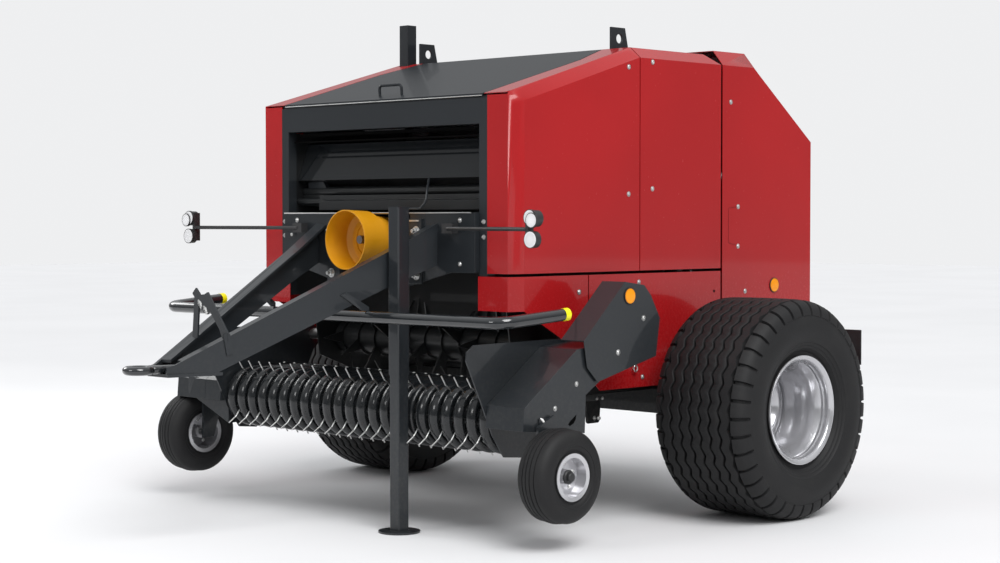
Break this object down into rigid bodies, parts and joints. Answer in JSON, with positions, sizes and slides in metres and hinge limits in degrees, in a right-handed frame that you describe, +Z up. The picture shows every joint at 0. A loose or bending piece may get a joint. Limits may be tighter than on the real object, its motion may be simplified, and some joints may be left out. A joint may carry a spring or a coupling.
{
  "type": "round baler",
  "caption": "towed farm machine with a tined pick-up, a fixed rolling chamber behind sloping panels, a rear gate and a drawbar resting on a stand",
  "frame": {"origin": "on the ground, in the middle of the whole machine along and across", "axes": "+Z up, travel towards -Y, the machine's own left side is +X"},
  "size_m": [2.776, 3.378, 2.185],
  "materials": {
    "body_paint": "gloss red",
    "frame_paint": "satin anthracite",
    "rim_paint": "silver",
    "tyre": "matt black",
    "shield_plastic": "yellow",
    "cap_plastic": "yellow-green",
    "lamp_plastic": "black with clear lens",
    "bright_steel": "machined",
    "slat_steel": "polished by crop"
  },
  "bodies": {
    "root": {"axle": "frame_paint", "lower_frame": "frame_paint", "chamber_wall_left": "frame_paint", "chamber_wall_right": "frame_paint", "front_frame": "frame_paint", "roof_frame": "frame_paint", "roof_strip_left": "body_paint", "roof_strip_right": "body_paint", "roof_panel": "frame_paint", "lower_panel_left": "body_paint", "lower_panel_right": "body_paint", "slats_front": "slat_steel", "drawbar": "frame_paint", "towing_eye": "frame_paint", "cross_member": "frame_paint", "gearbox": "frame_paint", "pto_shield": "shield_plastic", "stand_tube": "frame_paint", "guard_bow": "frame_paint", "bow_caps": "cap_plastic", "marker_lamp_left": "lamp_plastic", "marker_lamp_right": "lamp_plastic", "net_tray": "frame_paint", "drive_guard": "frame_paint", "pickup_pivot": "bright_steel"},
    "wheel_left": {"tyre_left": "tyre", "rim_left": "rim_paint"},
    "front_door_left": {"front_door_left": "body_paint"},
    "rear_door_left": {"rear_door_left": "body_paint"},
    "gauge_wheel_left": {"gauge_tyre_left": "tyre", "gauge_rim_left": "rim_paint"},
    "cylinder_left": {"cylinder_left": "frame_paint"},
    "cylinder_rod_left": {"cylinder_rod_left": "bright_steel"},
    "wheel_right": {"tyre_right": "tyre", "rim_right": "rim_paint"},
    "front_door_right": {"front_door_right": "body_paint"},
    "rear_door_right": {"rear_door_right": "body_paint"},
    "gauge_wheel_right": {"gauge_tyre_right": "tyre", "gauge_rim_right": "rim_paint"},
    "cylinder_right": {"cylinder_right": "frame_paint"},
    "cylinder_rod_right": {"cylinder_rod_right": "bright_steel"},
    "pto": {"pto_stub": "bright_steel"},
    "hood": {"hood": "frame_paint"},
    "stand_leg": {"stand_leg": "frame_paint"},
    "tailgate": {"tailgate_shell": "body_paint", "tailgate_frame": "frame_paint", "slats_rear": "slat_steel", "lamp_board": "lamp_plastic"},
    "pickup": {"pickup_frame": "frame_paint", "pickup_bands": "frame_paint", "pickup_case_left": "frame_paint", "pickup_case_right": "frame_paint", "gauge_arm_left": "frame_paint", "gauge_arm_right": "frame_paint"},
    "tine_reel": {"tine_reel": "bright_steel"},
    "feed_rotor": {"feed_rotor": "frame_paint"}
  },
  "joints": [
    {"name": "wheel_left_spin", "type": "hinge", "parent": "root", "child": "wheel_left", "pos_m": [1.143, 0.777, 0.466], "axis": [1, 0, 0], "continuous": true},
    {"name": "front_door_left_hinge", "type": "hinge", "parent": "root", "child": "front_door_left", "pos_m": [0.7505, -0.389, 1.77032], "axis": [0.0436, -0.9608, -0.2738], "range_deg": [0, 80]},
    {"name": "rear_door_left_hinge", "type": "hinge", "parent": "root", "child": "rear_door_left", "pos_m": [0.7145, 0.407, 1.9965], "axis": [0, -1, 0], "range_deg": [0, 85]},
    {"name": "gauge_wheel_left_spin", "type": "hinge", "parent": "pickup", "child": "gauge_wheel_left", "pos_m": [1.137, -0.499, 0.289], "axis": [1, 0, 0], "continuous": true},
    {"name": "cylinder_left_pivot", "type": "hinge", "parent": "root", "child": "cylinder_left", "pos_m": [0.69, 0.447, 0.7], "axis": [1, 0, 0], "range_deg": [-6, 6]},
    {"name": "cylinder_left_stroke", "type": "slide", "parent": "cylinder_left", "child": "cylinder_rod_left", "axis": [0, 0.644, 0.765], "range_m": [0, 0.42]},
    {"name": "wheel_right_spin", "type": "hinge", "parent": "root", "child": "wheel_right", "pos_m": [-1.143, 0.777, 0.466], "axis": [1, 0, 0], "continuous": true},
    {"name": "front_door_right_hinge", "type": "hinge", "parent": "root", "child": "front_door_right", "pos_m": [-0.7505, -0.389, 1.77032], "axis": [0.0436, 0.9608, 0.2738], "range_deg": [0, 80]},
    {"name": "rear_door_right_hinge", "type": "hinge", "parent": "root", "child": "rear_door_right", "pos_m": [-0.7145, 0.407, 1.9965], "axis": [0, 1, 0], "range_deg": [0, 85]},
    {"name": "gauge_wheel_right_spin", "type": "hinge", "parent": "pickup", "child": "gauge_wheel_right", "pos_m": [-1.137, -0.499, 0.289], "axis": [1, 0, 0], "continuous": true},
    {"name": "cylinder_right_pivot", "type": "hinge", "parent": "root", "child": "cylinder_right", "pos_m": [-0.69, 0.447, 0.7], "axis": [1, 0, 0], "range_deg": [-6, 6]},
    {"name": "cylinder_right_stroke", "type": "slide", "parent": "cylinder_right", "child": "cylinder_rod_right", "axis": [0, 0.644, 0.765], "range_m": [0, 0.42]},
    {"name": "pto_spin", "type": "hinge", "parent": "root", "child": "pto", "pos_m": [0, -0.423, 1.182], "axis": [0, 1, 0], "continuous": true},
    {"name": "hood_hinge", "type": "hinge", "parent": "root", "child": "hood", "pos_m": [0, 0.4085, 1.9965], "axis": [-1, 0, 0], "range_deg": [0, 60]},
    {"name": "stand_slide", "type": "slide", "parent": "root", "child": "stand_leg", "axis": [0, 0, 1], "range_m": [0, 0.25]},
    {"name": "tailgate_hinge", "type": "hinge", "parent": "root", "child": "tailgate", "pos_m": [0, 1.012, 1.935], "axis": [1, 0, 0], "range_deg": [0, 65]},
    {"name": "pickup_lift", "type": "hinge", "parent": "root", "child": "pickup", "pos_m": [0, -0.054, 0.735], "axis": [1, 0, 0], "range_deg": [0, 15]},
    {"name": "tine_reel_spin", "type": "hinge", "parent": "pickup", "child": "tine_reel", "pos_m": [0, -0.438, 0.475], "axis": [1, 0, 0], "continuous": true},
    {"name": "feed_rotor_spin", "type": "hinge", "parent": "root", "child": "feed_rotor", "pos_m": [0, -0.054, 0.735], "axis": [1, 0, 0], "continuous": true}
  ],
  "couplings": [
    {"joint": "cylinder_left_stroke", "follows": "tailgate_hinge", "m_per_rad": 0.3688},
    {"joint": "cylinder_right_stroke", "follows": "tailgate_hinge", "m_per_rad": 0.3688},
    {"joint": "cylinder_left_pivot", "follows": "tailgate_hinge", "ratio": 0.018462},
    {"joint": "cylinder_right_pivot", "follows": "tailgate_hinge", "ratio": 0.018462}
  ]
}
